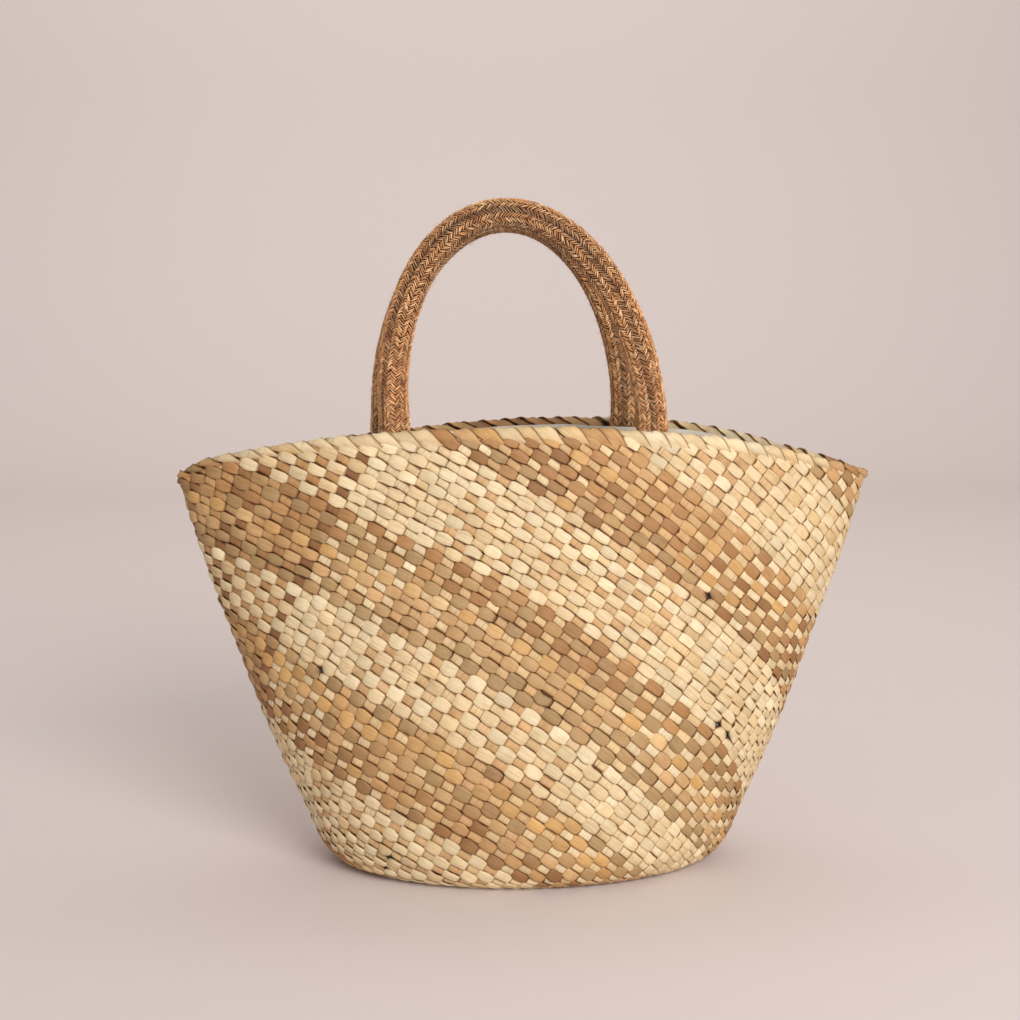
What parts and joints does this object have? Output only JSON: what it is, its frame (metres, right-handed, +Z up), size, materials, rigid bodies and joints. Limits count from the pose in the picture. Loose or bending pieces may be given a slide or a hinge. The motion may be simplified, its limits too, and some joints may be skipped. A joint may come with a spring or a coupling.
{
  "type": "woven beach tote",
  "caption": "Wide woven straw tote bag with a flat oval base, flared sides, arched plaited mouth, cloth lining and upright braided handles, for carrying beach things.",
  "frame": {"origin": "middle of the flat underside of the base, on the floor", "axes": "+X to the right along the width of the mouth, +Y from the front to the back, +Z up"},
  "size_m": [0.4602, 0.162, 0.4397],
  "materials": {
    "straw_plait": "dry plaited leaf, satin on the leaf faces",
    "straw_edge": "dry plaited leaf, satin on the leaf faces",
    "lining_cloth": "matt plain-weave cotton",
    "jute_front": "matt hairy jute braid",
    "jute_back": "matt hairy jute braid"
  },
  "bodies": {
    "root": {"basket_body": "straw_plait", "rim_braid": "straw_edge", "lining": "lining_cloth", "handle_front": "jute_front", "handle_back": "jute_back"}
  },
  "joints": []
}
